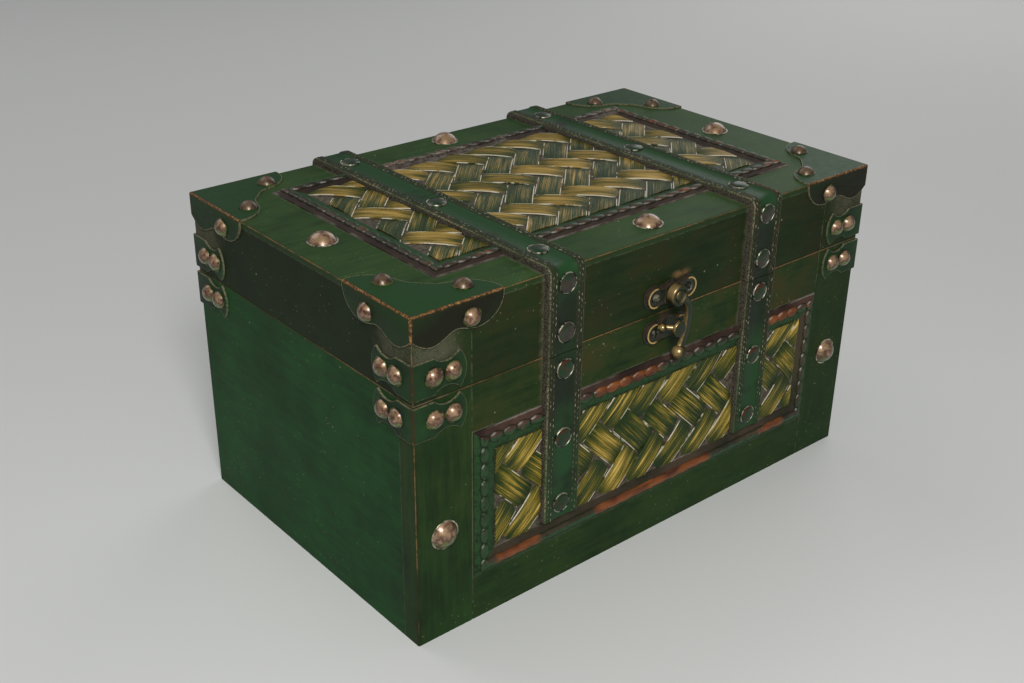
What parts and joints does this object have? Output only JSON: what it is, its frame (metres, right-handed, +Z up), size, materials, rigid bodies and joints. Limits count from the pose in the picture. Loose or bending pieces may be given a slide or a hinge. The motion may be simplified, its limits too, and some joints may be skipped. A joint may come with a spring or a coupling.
{
  "type": "keepsake chest",
  "caption": "Rectangular lacquered chest with a hinged lid, woven panels in beaded frames, crossing straps, domed nails, metal corner mounts and a swinging hook clasp.",
  "frame": {"origin": "middle of the underside, on the surface the chest stands on", "axes": "+X to the right seen from the front, +Y to the back where the hinges are, +Z up; the clasp faces -Y"},
  "size_m": [0.3088, 0.1997, 0.1716],
  "materials": {
    "lacquer": "worn dark green lacquer over wood",
    "moulding": "carved beads, lacquer rubbed through to brown on the crests",
    "weave": "flat plant strips, streaked gold and green",
    "strap": "painted strap with sewn edges",
    "stud": "painted over, satin",
    "bronze": "antique bronze, rubbed"
  },
  "bodies": {
    "chest": {"body_back": "lacquer", "body_bottom": "lacquer", "body_bracket_front_left": "bronze", "body_bracket_front_right": "bronze", "body_bracket_nails": "bronze", "body_bracket_rear_left": "bronze", "body_bracket_rear_right": "bronze", "body_side_left": "lacquer", "body_side_right": "lacquer", "catch_plate": "bronze", "catch_post": "bronze", "catch_screws": "bronze", "front_board": "lacquer", "front_dome_nails": "bronze", "front_moulding_bottom": "moulding", "front_moulding_left": "moulding", "front_moulding_right": "moulding", "front_moulding_top": "moulding", "front_stile_left": "lacquer", "front_stile_right": "lacquer", "front_strap_left": "strap", "front_strap_right": "strap", "front_strap_studs": "stud", "front_woven_panel": "weave", "hinge_body_leaves": "bronze", "hinge_body_screws": "bronze", "hinge_pins": "bronze"},
    "lid": {"hinge_lid_leaves": "bronze", "hinge_lid_screws": "bronze", "hook_plate": "bronze", "hook_rivet": "bronze", "hook_screws": "bronze", "lid_back": "lacquer", "lid_bracket_front_left": "bronze", "lid_bracket_front_right": "bronze", "lid_bracket_rear_left": "bronze", "lid_bracket_rear_right": "bronze", "lid_cap_front_left": "bronze", "lid_cap_front_right": "bronze", "lid_cap_rear_left": "bronze", "lid_cap_rear_right": "bronze", "lid_corner_nails": "bronze", "lid_dome_nails": "bronze", "lid_front_board": "lacquer", "lid_moulding_front": "moulding", "lid_moulding_left": "moulding", "lid_moulding_rear": "moulding", "lid_moulding_right": "moulding", "lid_side_left": "lacquer", "lid_side_right": "lacquer", "lid_stile_left": "lacquer", "lid_stile_right": "lacquer", "lid_strap_left": "strap", "lid_strap_right": "strap", "lid_strap_studs": "stud", "lid_top_board": "lacquer", "lid_woven_panel": "weave"},
    "hook": {"hook": "bronze"}
  },
  "joints": [
    {"name": "lid_hinge", "type": "hinge", "parent": "chest", "child": "lid", "pos_m": [0, 0.0947, 0.1265], "axis": [-1, 0, 0], "range_deg": [0, 105]},
    {"name": "hook_swing", "type": "hinge", "parent": "lid", "child": "hook", "pos_m": [0.0022, -0.0958, 0.1361], "axis": [0, -1, 0], "range_deg": [-24, 110]}
  ]
}
